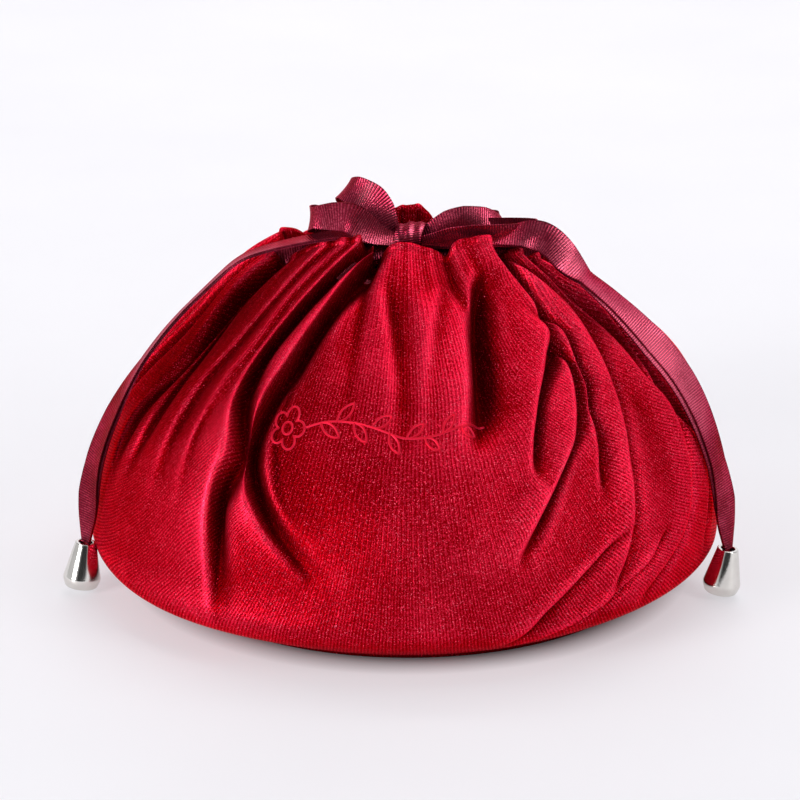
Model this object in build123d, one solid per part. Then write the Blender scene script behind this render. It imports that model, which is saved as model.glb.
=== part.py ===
"""Drawstring gift pouch: a round-based velvet pouch closed by two ribbon drawstrings.

The pouch stands on its round base at z = 0, with its front towards -Y. Two wall panels meet at side seams
in the plane y = 0, rise as a dome that flattens front to back, and end in a channel that carries the
drawstrings. Each drawstring is one ribbon that runs round the whole channel and leaves it at one side. The
two pairs of ribbon ends are tied in a bow over the mouth, fall over the sides and end in metal bells.

Each wall panel, lining, ribbon stretch, knot and bell piece is a solid of its own. All sizes are millimetres.
"""

from build123d import *
import math
import os

os.makedirs("parts", exist_ok=True)

# Pouch body
BODY_RADIUS = 102.5  # at its widest
BASE_RADIUS = 79.0
WIDEST_Z = 18.0
DOME_RISE = 101.5  # from the widest level to where the dome would close
FLATTENING = 1.11  # how fast the dome narrows front to back on its way up
MOUTH_Z = 101.9  # top of the wall panels
CLOTH = 1.4
LINING = 0.7
BOARD = 1.5
GAP = 0.1  # between layers that touch
PANEL_LEVELS = (0.0, 3.0, 9.0, WIDEST_Z, 32.0, 46.0, 59.0, 70.0, 80.0, 88.5, 95.5, MOUTH_Z)

# Drawstring channel: a band that slopes inwards from the top of the walls to the mouth's rim
CHANNEL_BOTTOM_Z = MOUTH_Z + GAP
RIM_Z = 109.4
RIM_HALF_SIZE = (46.0, 13.5)  # along X and Y, outside
CHANNEL_DEPTH = 5.5  # outside face to inside face, measured level
CHANNEL_WALL = 1.6
CHANNEL_END_MARGIN = 0.7  # height of cloth above and below the hollow
EXIT_SLOT = 8.0  # gap between the two channels at each side seam

# Ribbon
RIBBON_WIDTH = 9.5
RIBBON_THICKNESS = 0.45
PLY_OFFSET = 0.3  # each ply's middle from the middle of the pair
RUN_SHARE = 0.45  # how much of its shorter run an arc of a ribbon's route takes up
DRAWSTRING_DEPTH = 0.7  # the sloping ribbon's thickness, measured level
DRAWSTRING_INSETS = {"left": 3.1, "right": 2.0}  # from the channel's outside face, measured level

# Bow
KNOT_SIZE = (10.0, 8.0, 9.5)
KNOT_CORNER = 2.5
KNOT_BOTTOM_Z = 107.2
LEAD_BOTTOM_Z = 99.9
LEAD_START_X = 43.0
LOOP_TILT = 8.0  # degrees that each front loop climbs away from the knot
FRONT_LOOP_DROP = 3.8  # how far each front loop's lower edge is below the knot's top
STANDING_LOOP_Y = 0.8  # front edge of each standing loop
FRONT_LOOP_PLAN = (
    (6.0, -1.2),
    (14.0, -3.2),
    (24.0, -10.5),
    (33.0, -10.0),
    (33.5, -2.8),
    (25.0, -0.9),
    (14.0, -1.6),
    (6.0, -0.5),
)

# Bell
BELL_TOP_RADIUS = 3.4
BELL_RADIUS = 6.2
BELL_THROAT_RADIUS = 2.3
BELL_CONE_HEIGHT = 12.4
BELL_RIM_HEIGHT = 2.7
BELL_WALL = 0.9
BELL_THROAT_DEPTH = 1.2
PLUG_RADIUS = 4.4
PLUG_DOME = 0.5
PLUG_TOP_CLEARANCE = 0.4
RIM_BULGE = 0.12  # how far the bell's lowest band is rounded outwards, short of its widest
STOPPER_RADIUS = 3.0
STOPPER_CLEARANCE = 0.6  # above the plug's edge
NECK_WIDTH = 3.6
NECK_TAPER = 6.0  # height over which a tail narrows into the bell's throat

# Tails. Each lies in an upright plane through the pouch's axis, turned towards the front from the X axis.
# A route's points are (distance from the axis, height), from the knot to where the tail leaves the side.
TAIL_ROUTE = (
    (5.6, 110.6),
    (18.0, 112.0),
    (32.0, 112.8),
    (44.5, 111.8),
    (55.0, 107.4),
    (65.0, 99.6),
    (75.3, 89.0),
    (85.2, 77.0),
    (94.2, 63.6),
    (101.5, 49.3),
    (105.8, 36.0),
)
TAIL_HINGE_GAP = 0.7  # between each ribbon end and the line that the hanging part turns about

# What differs between the sides: the tail's turn and the bell's lean in degrees, the bell's throat as
# (distance from the axis, height), and the standing loop as (distance along X, height)
SIDES = {
    "left": {
        "sign": -1,
        "turn": 14.0,
        "throat": (107.6, 16.9),
        "lean": 8.0,
        "standing_loop": (
            (6.0, 114.0),
            (11.5, 121.0),
            (16.5, 130.0),
            (22.0, 130.6),
            (22.5, 124.5),
            (15.0, 118.0),
            (6.0, 113.2),
        ),
    },
    "right": {
        "sign": 1,
        "turn": 17.0,
        "throat": (107.9, 16.9),
        "lean": -8.0,
        "standing_loop": (
            (6.0, 114.0),
            (14.0, 118.4),
            (24.0, 122.2),
            (30.5, 121.2),
            (30.0, 116.6),
            (18.0, 114.6),
            (6.0, 113.2),
        ),
    },
}


def half_width(z):
    """The wall's outer half width along X at a height."""
    if z < WIDEST_Z:
        bulge = BODY_RADIUS - BASE_RADIUS
        return BASE_RADIUS + bulge * math.sin(math.pi / 2 * z / WIDEST_Z)
    return BODY_RADIUS * math.sqrt(1 - ((z - WIDEST_Z) / DOME_RISE) ** 2)


def half_depth(z):
    """The wall's outer half depth along Y at a height."""
    rise = max(0.0, z - WIDEST_Z) / DOME_RISE
    return half_width(z) * (1 - FLATTENING * rise**3)


def pouch_solid(inset):
    """The pouch's outer shape as one closed solid, with its sides moved in by inset."""
    sections = [
        Pos(0, 0, z) * Ellipse(half_width(z) - inset, half_depth(z) - inset) for z in PANEL_LEVELS
    ]
    return loft(sections, ruled=True)


def half_space(front):
    """A block that holds everything in front of, or behind, the side seams."""
    size = 3 * BODY_RADIUS
    middle = (size + GAP) / 2
    return Pos(0, -middle if front else middle, 0) * Box(size, size, 2 * size)


def wall_halves(outer_inset, thickness):
    """The front and back halves of a wall layer of that thickness."""
    layer = pouch_solid(outer_inset) - pouch_solid(outer_inset + thickness)
    return layer & half_space(True), layer & half_space(False)


def channel_solid(inset, margin):
    """The space inside the channel's sloping outside face moved in by inset, less a margin at each end."""
    wall_size = (half_width(MOUTH_Z), half_depth(MOUTH_Z))
    sections = []
    for z in (CHANNEL_BOTTOM_Z + margin, RIM_Z - margin):
        rise = (z - CHANNEL_BOTTOM_Z) / (RIM_Z - CHANNEL_BOTTOM_Z)
        half_x, half_y = [low + (high - low) * rise - inset for low, high in zip(wall_size, RIM_HALF_SIZE)]
        sections.append(Pos(0, 0, z) * Ellipse(half_x, half_y))
    return loft(sections, ruled=True)


def channel_band(inset, depth, margin):
    """A band of the channel, open in the middle."""
    return channel_solid(inset, margin) - channel_solid(inset + depth, margin)


def channel_halves():
    """The folded channel at the mouth, as a front and a back half with an exit slot at each side seam."""
    hollow = channel_band(CHANNEL_WALL, CHANNEL_DEPTH - 2 * CHANNEL_WALL, CHANNEL_END_MARGIN)
    slots = Pos(0, 0, MOUTH_Z) * Box(3 * BODY_RADIUS, EXIT_SLOT, BODY_RADIUS)
    channel = channel_band(0, CHANNEL_DEPTH, 0) - hollow - slots
    return channel & half_space(True), channel & half_space(False)


def drawstring(name):
    """A ribbon that runs round the channel, open where it leaves at its own side."""
    ring = channel_band(DRAWSTRING_INSETS[name], DRAWSTRING_DEPTH, CHANNEL_END_MARGIN + GAP)
    exit_cut = Pos(SIDES[name]["sign"] * RIM_HALF_SIZE[0], 0, MOUTH_Z) * Box(
        RIM_HALF_SIZE[0], EXIT_SLOT, BODY_RADIUS
    )
    return ring - exit_cut


def corner_radii(points):
    """The radius at each inner point of a route: a share of the shorter run over tan of half the turn."""
    radii = []
    for before, here, after in zip(points, points[1:], points[2:]):
        run_in = Vector(*here) - Vector(*before)
        run_out = Vector(*after) - Vector(*here)
        half_turn = math.radians(run_in.get_angle(run_out) / 2)
        radii.append(RUN_SHARE * min(run_in.length, run_out.length) / math.tan(half_turn))
    return radii


def ribbon_along(points, width_direction, ply=0.0, width=RIBBON_WIDTH, thickness=RIBBON_THICKNESS):
    """A flat ribbon along a route in one plane, as straight runs and tangent arcs.

    width_direction is square to that plane. ply moves the ribbon off the route, across its thickness.
    """
    radii = corner_radii(points)
    path = FilletPolyline(*points, radius=radii)
    start = Plane(origin=path @ 0, x_dir=width_direction, z_dir=path % 0)
    section = start * (Pos(0, ply) * Rectangle(width, thickness))
    return sweep(section, path=path), radii


def outward(side):
    """The level direction in which a side's tail runs away from the pouch's axis."""
    turn = math.radians(side["turn"])
    return Vector(side["sign"] * math.cos(turn), -math.sin(turn), 0)


def on_tail_plane(side, distance, z):
    return outward(side) * distance + Vector(0, 0, z)


def bell_frame(side):
    """Where a bell hangs: its origin in the middle of the throat's top face, with +Z up its axis."""
    throat = on_tail_plane(side, *side["throat"])
    hinge_axis = outward(side).cross(Vector(0, 0, 1))
    up = Vector(0, 0, 1).rotate(Axis((0, 0, 0), tuple(hinge_axis)), side["lean"])
    return Plane(origin=throat, x_dir=hinge_axis, z_dir=up)


def hanging_tail(side):
    """The stretch of a tail that hangs free and narrows into the bell's throat, as a pair of plies."""
    top, foot = on_tail_plane(side, *TAIL_ROUTE[-1]), on_tail_plane(side, *side["throat"])
    down = (foot - top).normalized()
    across = outward(side).cross(Vector(0, 0, 1))
    plane = Plane(origin=top, x_dir=across, z_dir=across.cross(down * -1))
    length = (foot - top).length
    half, neck = RIBBON_WIDTH / 2, NECK_WIDTH / 2
    sign = -1 if plane.y_dir.dot(down) < 0 else 1
    outline = Polyline(
        (-half, sign * TAIL_HINGE_GAP),
        (half, sign * TAIL_HINGE_GAP),
        (half, sign * (length - NECK_TAPER)),
        (neck, sign * (length - TAIL_HINGE_GAP)),
        (-neck, sign * (length - TAIL_HINGE_GAP)),
        (-half, sign * (length - NECK_TAPER)),
        close=True,
    )
    sheet = make_face(outline)
    plies = [
        plane * (Pos(0, 0, offset - RIBBON_THICKNESS / 2) * extrude(sheet, RIBBON_THICKNESS))
        for offset in (-PLY_OFFSET, PLY_OFFSET)
    ]
    return Compound(children=plies)


def bell_shell():
    """A cone of cast metal with a round throat, hollow for the stopper knot and open below for its plug."""
    rim_z = -BELL_CONE_HEIGHT
    foot_z = rim_z - BELL_RIM_HEIGHT
    foot_radius = PLUG_RADIUS + BELL_WALL
    outline = Polyline(
        (foot_radius, foot_z),
        (PLUG_RADIUS + GAP / 2, foot_z),
        (PLUG_RADIUS + GAP / 2, rim_z),
        (PLUG_RADIUS, rim_z),
        (BELL_THROAT_RADIUS, -BELL_THROAT_DEPTH),
        (BELL_THROAT_RADIUS, 0),
        (BELL_TOP_RADIUS, 0),
        (BELL_RADIUS, rim_z),
    )
    rounding = ThreePointArc(
        (BELL_RADIUS, rim_z),
        (BELL_RADIUS - RIM_BULGE, rim_z - BELL_RIM_HEIGHT / 2),
        (foot_radius, foot_z),
    )
    return revolve(Plane.XZ * make_face(outline + rounding), Axis.Z)


def bell_plug():
    """The plug that closes a bell, with a slightly domed underside."""
    foot_z = -BELL_CONE_HEIGHT - BELL_RIM_HEIGHT
    height = BELL_RIM_HEIGHT + PLUG_DOME - PLUG_TOP_CLEARANCE
    blank = Pos(0, 0, foot_z - PLUG_DOME + height / 2) * Cylinder(PLUG_RADIUS, height)
    dome_radius = (PLUG_RADIUS**2 + PLUG_DOME**2) / (2 * PLUG_DOME)
    return blank & Pos(0, 0, foot_z - PLUG_DOME + dome_radius) * Sphere(dome_radius)


def stopper_knot():
    """The knot in the ribbon ends inside a bell, with the neck of ribbon that comes down through the throat."""
    knot_z = -BELL_CONE_HEIGHT + STOPPER_RADIUS + STOPPER_CLEARANCE
    neck_length = -TAIL_HINGE_GAP - knot_z
    neck = Pos(0, 0, knot_z + neck_length / 2) * Box(NECK_WIDTH, 2 * PLY_OFFSET + RIBBON_THICKNESS, neck_length)
    return Pos(0, 0, knot_z) * Sphere(STOPPER_RADIUS) + neck


def lead(side_sign):
    """The pair of ribbon plies from a side's exit slot to the bow's knot, standing on edge in the mouth."""
    end = KNOT_SIZE[0] / 2 - KNOT_CORNER
    plies = [
        Pos(side_sign * (LEAD_START_X + end) / 2, offset, LEAD_BOTTOM_Z + RIBBON_WIDTH / 2)
        * Box(LEAD_START_X - end, RIBBON_THICKNESS, RIBBON_WIDTH)
        for offset in (-PLY_OFFSET, PLY_OFFSET)
    ]
    return Compound(children=plies) - bow_knot()


def bow_knot():
    """The knot of the bow, a rounded block over the middle of the mouth."""
    block = Pos(0, 0, KNOT_BOTTOM_Z + KNOT_SIZE[2] / 2) * Box(*KNOT_SIZE)
    return fillet(block.edges(), KNOT_CORNER)


def front_loop(side_sign):
    """A loop of the bow whose ribbon stands on edge, climbing away from the knot."""
    middle_z = KNOT_BOTTOM_Z + KNOT_SIZE[2] + RIBBON_WIDTH / 2 - FRONT_LOOP_DROP
    points = [(side_sign * x, y, middle_z) for x, y in FRONT_LOOP_PLAN]
    loop = ribbon_along(points, Vector(0, 0, 1))[0]
    tilt_axis = Axis((0, 0, middle_z), (0, 1, 0))
    return loop.rotate(tilt_axis, -side_sign * LOOP_TILT)


def standing_loop(side):
    """A loop of the bow that stands up behind the other, its ribbon's width along Y."""
    middle_y = RIBBON_WIDTH / 2 + STANDING_LOOP_Y
    points = [(side["sign"] * x, middle_y, z) for x, z in side["standing_loop"]]
    return ribbon_along(points, Vector(0, 1, 0))[0]


def make_parts():
    """Every sub-part as a dict of node name to shape."""
    parts = {}
    parts["front_panel"], parts["back_panel"] = wall_halves(0.0, CLOTH)
    parts["front_lining"], parts["back_lining"] = wall_halves(CLOTH + GAP, LINING)
    parts["front_channel"], parts["back_channel"] = channel_halves()

    base_radius = BASE_RADIUS - CLOTH - LINING - 2 * GAP
    layer_z = 0.0
    for name, thickness in (("base_panel", CLOTH), ("base_board", BOARD), ("base_lining", LINING)):
        parts[name] = Pos(0, 0, layer_z + thickness / 2) * Cylinder(base_radius, thickness)
        layer_z += thickness + GAP

    parts["bow_knot"] = bow_knot()
    for name, side in SIDES.items():
        across = outward(side).cross(Vector(0, 0, 1))
        route = [tuple(on_tail_plane(side, r, z)) for r, z in TAIL_ROUTE]
        end = Vector(*route[-1])
        back = (Vector(*route[-2]) - end).normalized()
        route[-1] = tuple(end + back * TAIL_HINGE_GAP)
        for ply, offset in (("outer", -PLY_OFFSET), ("inner", PLY_OFFSET)):
            tail, radii = ribbon_along(route, across, offset)
            parts[f"{name}_tail_{ply}_ply"] = tail
        print(name, "tail radii", [round(r) for r in radii], "volume", round(tail.volume, 1))
        parts[f"{name}_drawstring"] = drawstring(name)
        parts[f"{name}_lead"] = lead(side["sign"])
        parts[f"{name}_front_loop"] = front_loop(side["sign"])
        parts[f"{name}_rear_loop"] = standing_loop(side)
        parts[f"{name}_tail_end"] = hanging_tail(side)
        place = bell_frame(side)
        parts[f"{name}_bell_shell"] = place * bell_shell()
        parts[f"{name}_bell_plug"] = place * bell_plug()
        parts[f"{name}_stopper_knot"] = place * stopper_knot()
    return parts


for node, shape in make_parts().items():
    export_step(shape, f"parts/{node}.step")
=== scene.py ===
"""Visual model of the drawstring gift pouch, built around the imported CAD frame.

Everything is in metres, in the frame's own axes: the base's centre is the origin, -Y is the front, +Z is up.
Angles round the pouch are in degrees from the middle of the front, positive towards +X.
"""

import math

import bpy
import numpy as np
from mathutils import Matrix, Vector


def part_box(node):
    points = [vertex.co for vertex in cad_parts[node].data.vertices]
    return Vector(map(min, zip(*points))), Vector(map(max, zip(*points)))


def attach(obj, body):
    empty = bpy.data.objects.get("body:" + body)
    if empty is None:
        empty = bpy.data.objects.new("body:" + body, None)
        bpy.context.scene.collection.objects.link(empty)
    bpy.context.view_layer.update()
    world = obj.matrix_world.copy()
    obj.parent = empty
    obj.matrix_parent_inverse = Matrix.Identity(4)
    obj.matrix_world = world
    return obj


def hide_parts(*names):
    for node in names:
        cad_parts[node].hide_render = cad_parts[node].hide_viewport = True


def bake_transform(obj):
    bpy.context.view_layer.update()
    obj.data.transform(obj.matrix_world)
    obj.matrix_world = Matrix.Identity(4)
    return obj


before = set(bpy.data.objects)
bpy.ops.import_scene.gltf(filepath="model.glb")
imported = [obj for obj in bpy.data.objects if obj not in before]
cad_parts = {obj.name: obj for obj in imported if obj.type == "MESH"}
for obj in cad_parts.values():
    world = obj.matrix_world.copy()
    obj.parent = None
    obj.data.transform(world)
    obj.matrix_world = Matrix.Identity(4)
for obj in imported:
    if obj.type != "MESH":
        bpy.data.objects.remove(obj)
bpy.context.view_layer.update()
MM = 0.001


def box_of(node):
    low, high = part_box(node)
    return Vector(low), Vector(high)


# ---------------------------------------------------------------- driving sizes
BODY_RADIUS = box_of("front_panel")[1].x
RIM_Z = box_of("front_channel")[1].z
BASE_RADIUS = 79 * MM
WIDEST_Z = 18 * MM
DOME_RISE = 101.5 * MM
FLATTENING = 1.05
SEAM_Z = 0.9 * MM
HEM_RADIUS = 1.7 * MM
HEM_DEPTH = 13 * MM
HEM_LEAN = 0.12  # how far it leans inwards for each unit down
LINING_INSET = 1.3 * MM

# The wall's and lining's grids
WALL_ROWS, HEM_ROWS = 155, 10
LINING_ROWS, LINING_COLUMNS = 110, 260
LINING_KEPT = slice(3, 102)  # the rows from over the base to the hem's foot
DRAWSTRING_ROWS = slice(143, 151)  # the wall's rows that lie beside the channel's hollow

RIBBON_WIDTH = 9.8 * MM
RIBBON_THICKNESS = 0.4 * MM
RIBBON_STEP = 0.5 * MM  # between the rows of a ribbon's mesh
GROSGRAIN_PITCH = 0.8 * MM
PIPING_RADIUS = 0.9 * MM
THREAD_RADIUS = 0.38 * MM
THREAD_TWIST = 0.9 * MM  # length of one turn of its strands
SPRIG_ANGLE, SPRIG_Z = -2.6, 71.5  # the middle of the sprig's stem, in degrees and mm
SPRIG_WIDTH = 56.0  # mm
SPRIG_LEAVES = 9
STEM_SWAY, STEM_WAVES = 2.2, 1.25  # mm to each side, and how many waves
LEAF_LENGTH = 7.0  # mm
LEAF_SLANT = 0.75  # radians from the stem
FLOWER_PLACE = (6.4, 0.4)  # mm from its middle to the stem's end
FLOWER_RINGS = ((1.7, 0.0), (3.2, 2.8))  # each as (radius between petals, how far they stand past it) in mm
SPRIG_MM_PER_DEGREE = 1.5
SPRIG_RISE = 0.8  # mm up for each mm of cloth
RIB_PITCH = 1.05 * MM


# ---------------------------------------------------------------- small helpers
def link(obj):
    bpy.context.scene.collection.objects.link(obj)
    return obj


def mesh_object(name, points, faces, material, uv=None, marks=None):
    """A smooth mesh from an (n, 3) array and a list or array of faces.

    uv is an (n, 2) array for its UV map, and marks has (n,) arrays of named values for its material. On
    cloth, the shading mark is over 0.5 on a crest and under 0.5 in a hollow, and the velvet paints a
    highlight on crests and shade in hollows from it; crowd is how far its ribs are gathered.
    """
    mesh = bpy.data.meshes.new(name)
    faces = faces if isinstance(faces, list) else faces.tolist()
    mesh.from_pydata(np.asarray(points, float).tolist(), [], faces)
    mesh.materials.append(material)
    mesh.polygons.foreach_set("use_smooth", np.ones(len(mesh.polygons), bool))
    if uv is not None:
        layer = mesh.uv_layers.new(name="cloth")
        corners = np.empty(len(mesh.loops), np.int32)
        mesh.loops.foreach_get("vertex_index", corners)
        layer.data.foreach_set("uv", np.asarray(uv, np.float32)[corners].ravel())
    for mark, values in (marks or {}).items():
        attribute = mesh.attributes.new(mark, "FLOAT", "POINT")
        attribute.data.foreach_set("value", values.ravel().astype(np.float32))
    mesh.update()
    return link(bpy.data.objects.new(name, mesh))


def settle(obj, slot, *replaced):
    """Fix a piece to the pouch itself, in place of the CAD nodes that are named; slot is not used."""
    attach(obj, "root")
    if replaced:
        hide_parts(*replaced)


def grid_faces(rows, columns, closed=False, ring=False):
    """Quads of a grid of points stored row by row.

    closed joins the last column to the first, and ring joins the last row to the first.
    """
    first_rows = np.arange(rows if ring else rows - 1)
    first_columns = np.arange(columns if closed else columns - 1)
    row, column = np.meshgrid(first_rows, first_columns, indexing="ij")
    next_row = (row + 1) % rows
    next_column = (column + 1) % columns
    corners = ((row, column), (row, next_column), (next_row, next_column), (next_row, column))
    return np.stack([r * columns + c for r, c in corners], -1).reshape(-1, 4)


def smoothstep(low, high, value):
    t = np.clip((value - low) / (high - low), 0, 1)
    return t * t * (3 - 2 * t)


def unit(vectors):
    return vectors / np.maximum(np.linalg.norm(vectors, axis=-1, keepdims=True), 1e-12)


# ---------------------------------------------------------------- node materials
class Nodes:
    """A short way to build one node material."""

    def __init__(self, name):
        self.material = bpy.data.materials.new(name)
        self.material.use_nodes = True
        self.tree = self.material.node_tree
        self.shader = self.tree.nodes["Principled BSDF"]

    def add(self, kind, **settings):
        node = self.tree.nodes.new(kind)
        for key, value in settings.items():
            setattr(node, key, value)
        return node

    def wire(self, source, target):
        self.tree.links.new(source, target)

    def math(self, operation, first, second=None):
        node = self.add("ShaderNodeMath", operation=operation)
        for index, value in enumerate((first, second)):
            if value is None:
                continue
            if isinstance(value, (int, float)):
                node.inputs[index].default_value = value
            else:
                self.wire(value, node.inputs[index])
        return node.outputs[0]

    def sum(self, *values):
        total = values[0]
        for value in values[1:]:
            total = self.math("ADD", total, value)
        return total

    def scaled(self, value, factor):
        return self.math("MULTIPLY", value, factor)

    def less(self, value, level):
        return self.math("SUBTRACT", value, level)

    def over(self, value, level):
        """How far a value is over a level, and 0 where it is under."""
        return self.math("MAXIMUM", self.less(value, level), 0.0)

    def position(self):
        return self.add("ShaderNodeTexCoord").outputs["Object"]

    def mark(self, name):
        """One of the mesh's named values."""
        return self.add("ShaderNodeAttribute", attribute_name=name).outputs["Fac"]

    def cloth(self):
        """The cloth UV map, in metres on the flat cloth."""
        return self.add("ShaderNodeUVMap", uv_map="cloth").outputs["UV"]

    def cloth_axes(self):
        split = self.add("ShaderNodeSeparateXYZ")
        self.wire(self.cloth(), split.inputs[0])
        return split.outputs[0], split.outputs[1]

    def facing(self, direction):
        """How far the surface faces a direction, from -1 to 1."""
        node = self.add("ShaderNodeVectorMath", operation="DOT_PRODUCT")
        self.wire(self.add("ShaderNodeTexCoord").outputs["Normal"], node.inputs[0])
        node.inputs[1].default_value = Vector(direction).normalized()
        return node.outputs["Value"]

    def noise(self, vector, scale, detail=3.0, roughness=0.5):
        node = self.add("ShaderNodeTexNoise")
        node.inputs["Scale"].default_value = scale
        node.inputs["Detail"].default_value = detail
        node.inputs["Roughness"].default_value = roughness
        self.wire(vector, node.inputs["Vector"])
        return node.outputs["Fac"]

    def ramp(self, factor, *stops):
        """A colour ramp with stops of (position, colour)."""
        node = self.add("ShaderNodeValToRGB")
        elements = node.color_ramp.elements
        while len(elements) < len(stops):
            elements.new(0.5)
        for element, (position, color) in zip(elements, stops):
            element.position = position
            element.color = (*color, 1)
        self.wire(factor, node.inputs["Fac"])
        return node.outputs["Color"]

    def bump(self, height, distance):
        node = self.add("ShaderNodeBump")
        node.inputs["Distance"].default_value = distance
        node.inputs["Strength"].default_value = 1.0
        self.wire(height, node.inputs["Height"])
        return node.outputs["Normal"]

    def feed(self, **sockets):
        """Wire sockets into the shader's inputs, named with _ for a space."""
        for key, socket in sockets.items():
            self.wire(socket, self.shader.inputs[key.replace("_", " ")])

    def set(self, **values):
        """Set the shader's inputs, named with _ for a space."""
        for key, value in values.items():
            self.shader.inputs[key.replace("_", " ")].default_value = value


WINES = ((0.04, 0.001, 0.004), (0.22, 0.011, 0.032), (0.75, 0.12, 0.2))  # the ribbon's dark, middle and light
# A ribbon's painted highlight: the ribbon is painted brighter where it faces this way.
PAINTED_HIGHLIGHT_FACING = (0.45, -0.6, 0.66)  # the way a ribbon faces where its satin is brightest


def velvet_material(name, dark, middle, light, painted_glint_color, sheen):
    """Stretch velvet: knitted ribs, a grain with painted sparkling glints, painted shade in the hollows and a
    painted highlight where it bends out.
    """
    n = Nodes(name)
    across, along = n.cloth_axes()
    position = n.position()
    wander = n.scaled(n.noise(position, 60, 2), 0.9 * MM)
    crowd = n.mark("crowd")
    waves = []
    for octave in range(4):
        turn = 2 * math.pi / (RIB_PITCH * 2**octave)
        wave = n.math("SINE", n.scaled(n.sum(across, wander), turn))
        apart = n.math("ABSOLUTE", n.less(crowd, octave))
        waves.append(n.scaled(wave, n.over(n.less(1.0, apart), 0.0)))
    stitch = n.math("SINE", n.scaled(along, 2 * math.pi / (1.5 * RIB_PITCH)))
    knit = n.sum(n.scaled(n.sum(*waves), 0.13), n.scaled(stitch, 0.02))
    speckle = n.less(n.noise(position, 2400, 1, 0.8), 0.5)
    # painted glints: tiny bright specks that lift the tone to the glint colour
    painted_glint = n.over(n.noise(position, 2600, 1), 0.61)
    # the grain here also carries the painted glints, into the colour and the bump
    grain = n.sum(knit, n.scaled(speckle, 0.9), n.scaled(painted_glint, 6.5))
    mottle = n.less(n.noise(position, 45, 4, 0.62), 0.5)
    patches = n.less(n.noise(position, 14, 2), 0.5)
    # painted shade in the hollows and a painted highlight on the crests, from the cloth's shading mark
    painted_shading = n.less(n.mark("painted_shading"), 0.5)
    wide = n.sum(n.scaled(mottle, 0.4), n.scaled(patches, 0.25), n.scaled(painted_shading, 0.9))
    tone = n.scaled(n.sum(grain, wide, 0.49), 0.8)
    n.feed(
        Base_Color=n.ramp(tone, (0.08, dark), (0.4, middle), (0.72, light), (0.86, light), (1.0, painted_glint_color)),
        Metallic=n.ramp(tone, (0.2, [0.5] * 3), (0.68, [0.95] * 3)),
        Normal=n.bump(n.scaled(grain, 3.0), 0.07 * MM),
    )
    n.set(Roughness=0.35, IOR=1.0, Specular_Tint=(1.0, 0.06, 0.12, 1))
    n.set(Sheen_Weight=0.02, Sheen_Roughness=0.35, Sheen_Tint=(*sheen, 1))
    return n.material


def ribbon_material():
    """Wine grosgrain: fine cross ribs, a silky gloss and a painted highlight where it faces up, to the right
    and to the front.
    """
    n = Nodes("wine_grosgrain")
    across, along = n.cloth_axes()
    rib = n.math("SINE", n.scaled(along, 2 * math.pi / GROSGRAIN_PITCH))
    thread = n.less(n.noise(n.cloth(), 1400, 2), 0.5)
    cloud = n.less(n.noise(n.position(), 120, 2), 0.5)
    edge = n.math("ABSOLUTE", n.scaled(across, 2 / RIBBON_WIDTH))
    selvedge = n.math("GREATER_THAN", edge, 0.92)
    # painted highlight: brighter where the ribbon faces up, to the right and to the front
    painted_satin_highlight = n.over(n.facing(PAINTED_HIGHLIGHT_FACING), 0.84)
    tone = n.sum(n.scaled(rib, 0.1), n.scaled(thread, 0.6), n.scaled(cloud, 0.5), 0.5)
    tone = n.sum(tone, n.scaled(selvedge, -0.15), n.scaled(painted_satin_highlight, 2.4))
    n.feed(
        Base_Color=n.ramp(tone, *zip((0.1, 0.5, 0.9), WINES)),
        Metallic=n.ramp(tone, (0.2, [0.75] * 3), (0.8, [0.95] * 3)),
        Normal=n.bump(n.sum(rib, n.scaled(thread, 1.2)), 0.06 * MM),
    )
    n.set(Roughness=0.24, IOR=1.0, Specular_Tint=(1.0, 0.2, 0.3, 1))
    n.set(Coat_Weight=0.1, Coat_Roughness=0.3, Coat_Tint=(1.0, 0.6, 0.7, 1))
    return n.material


def thread_material():
    """Glossy embroidery thread, twisted."""
    n = Nodes("embroidery_thread")
    across, along = n.cloth_axes()
    slant = n.sum(n.scaled(along, 2 * math.pi / THREAD_TWIST), n.scaled(across, 2 * math.pi))
    twist = n.math("SINE", slant)
    tone = n.sum(n.scaled(twist, 0.3), 0.5)
    n.feed(
        Base_Color=n.ramp(tone, (0.0, (0.6, 0.003, 0.015)), (1.0, (1.0, 0.03, 0.09))),
        Normal=n.bump(twist, 0.1 * MM),
    )
    n.set(Roughness=0.35, Metallic=0.4, Specular_IOR_Level=0.05)
    return n.material


def nickel_material():
    """Polished nickel with faint handling marks."""
    n = Nodes("polished_nickel")
    marks = n.noise(n.position(), 900, 4, 0.7)
    smear = n.noise(n.position(), 160, 2)
    n.feed(
        Base_Color=n.ramp(smear, (0.3, (0.66, 0.64, 0.6)), (0.7, (0.8, 0.78, 0.74))),
        Roughness=n.sum(n.scaled(marks, 0.08), n.scaled(smear, 0.08), 0.02),
        Normal=n.bump(marks, 0.01 * MM),
    )
    n.set(Metallic=1.0)
    return n.material


def board_material():
    """Grey pressed card."""
    n = Nodes("pressed_card")
    fibres = n.noise(n.position(), 700, 4, 0.7)
    n.feed(
        Base_Color=n.ramp(fibres, (0.3, (0.2, 0.18, 0.16)), (0.7, (0.34, 0.31, 0.28))),
        Normal=n.bump(fibres, 0.1 * MM),
    )
    n.set(Roughness=0.85)
    return n.material


VELVET = velvet_material(
    "red_velvet",
    dark=(0.07, 0.0, 0.0004),
    middle=(0.3, 0.0003, 0.003),
    light=(1.0, 0.022, 0.075),
    painted_glint_color=(1.0, 0.16, 0.25),
    sheen=(1.0, 0.06, 0.14),
)
LINING = velvet_material(
    "red_lining",
    dark=(0.1, 0.002, 0.006),
    middle=(0.2, 0.004, 0.01),
    light=(0.3, 0.006, 0.016),
    painted_glint_color=(0.3, 0.01, 0.02),
    sheen=(0.8, 0.1, 0.15),
)
RIBBON = ribbon_material()
THREAD = thread_material()
NICKEL = nickel_material()
CARD = board_material()


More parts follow.
